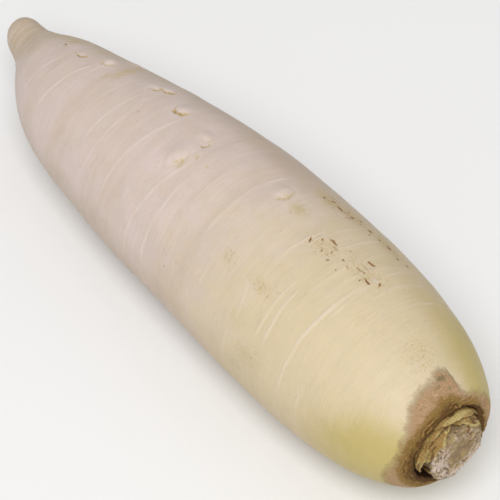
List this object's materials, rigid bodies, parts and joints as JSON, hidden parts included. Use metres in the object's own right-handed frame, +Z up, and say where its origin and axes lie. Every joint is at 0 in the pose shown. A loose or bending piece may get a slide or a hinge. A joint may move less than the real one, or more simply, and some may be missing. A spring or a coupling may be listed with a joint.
{
  "type": "daikon radish",
  "caption": "Whole white daikon root lying on its side, with a blunt tail, a pale green crown and a trimmed stem stump ringed by cut leaf bases.",
  "frame": {"origin": "under the middle of the object's box, on the surface that it lies on", "axes": "+X along the root from the tail to the crown, +Z up, -Z towards the resting face"},
  "size_m": [0.3174, 0.0854, 0.084],
  "materials": {
    "skin": "satin",
    "cut_stem": "matte",
    "leaf_base": "matte"
  },
  "bodies": {
    "root": {"root": "skin", "stem_stump": "cut_stem", "leaf_base_inner_1": "leaf_base", "leaf_base_inner_2": "leaf_base", "leaf_base_inner_3": "leaf_base", "leaf_base_outer_1": "leaf_base", "leaf_base_outer_2": "leaf_base", "leaf_base_outer_3": "leaf_base"}
  },
  "joints": []
}
